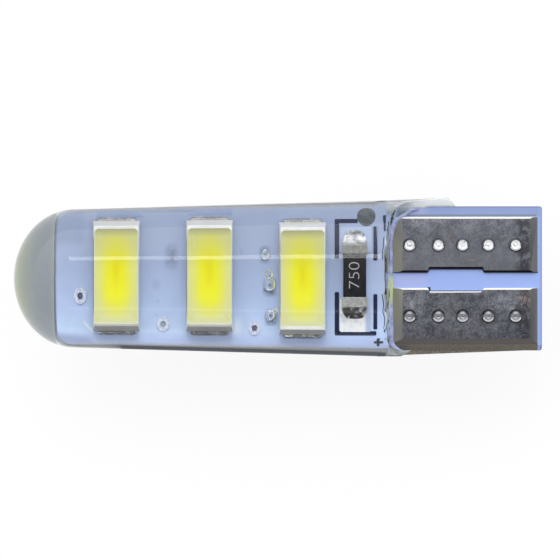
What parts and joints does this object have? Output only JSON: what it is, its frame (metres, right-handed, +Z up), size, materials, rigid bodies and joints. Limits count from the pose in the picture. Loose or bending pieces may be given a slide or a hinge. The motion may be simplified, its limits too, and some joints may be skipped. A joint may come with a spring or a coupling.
{
  "type": "wedge base led bulb",
  "caption": "Slim automotive light bulb: a clear silicone capsule round a circuit board with surface-mount diodes, on a flat wedge base with pressed contact plates.",
  "frame": {"origin": "middle of the bulb's length and width, on the plane under the silicone that it lies on", "axes": "+X along the bulb's axis from the nose to the wedge base, +Z up out of the front face of the board, +Y across the board"},
  "size_m": [0.034, 0.0102, 0.01],
  "materials": {
    "clear_silicone": "clear, glossy",
    "white_board": "semi-gloss solder mask, lavender white",
    "plated_copper": "tinned copper",
    "tinned_sheet": "dull tinned sheet, lightly stained",
    "diode_housing": "white moulded plastic",
    "phosphor_gel": "yellow phosphor gel",
    "diode_lead": "silver-plated",
    "emitter_chip": "polished",
    "solder": "bright solder",
    "resistor_ceramic": "white ceramic",
    "resistor_coating": "black lacquer",
    "resistor_cap": "tinned"
  },
  "bodies": {
    "root": {"silicone_body": "clear_silicone", "circuit_board": "white_board", "plated_holes": "plated_copper", "contact_front_upper": "tinned_sheet", "contact_front_lower": "tinned_sheet", "led_front_1_housing": "diode_housing", "led_front_1_phosphor": "phosphor_gel", "led_front_1_leads": "diode_lead", "led_front_2_housing": "diode_housing", "led_front_2_phosphor": "phosphor_gel", "led_front_2_leads": "diode_lead", "led_front_3_housing": "diode_housing", "led_front_3_phosphor": "phosphor_gel", "led_front_3_leads": "diode_lead", "led_front_chips": "emitter_chip", "led_front_solder": "solder", "resistor_front_block": "resistor_ceramic", "resistor_front_coating": "resistor_coating", "resistor_front_caps": "resistor_cap", "resistor_front_solder": "solder", "contact_rear_upper": "tinned_sheet", "contact_rear_lower": "tinned_sheet", "led_rear_1_housing": "diode_housing", "led_rear_1_phosphor": "phosphor_gel", "led_rear_1_leads": "diode_lead", "led_rear_2_housing": "diode_housing", "led_rear_2_phosphor": "phosphor_gel", "led_rear_2_leads": "diode_lead", "led_rear_3_housing": "diode_housing", "led_rear_3_phosphor": "phosphor_gel", "led_rear_3_leads": "diode_lead", "led_rear_chips": "emitter_chip", "led_rear_solder": "solder", "resistor_rear_block": "resistor_ceramic", "resistor_rear_coating": "resistor_coating", "resistor_rear_caps": "resistor_cap", "resistor_rear_solder": "solder"}
  },
  "joints": []
}
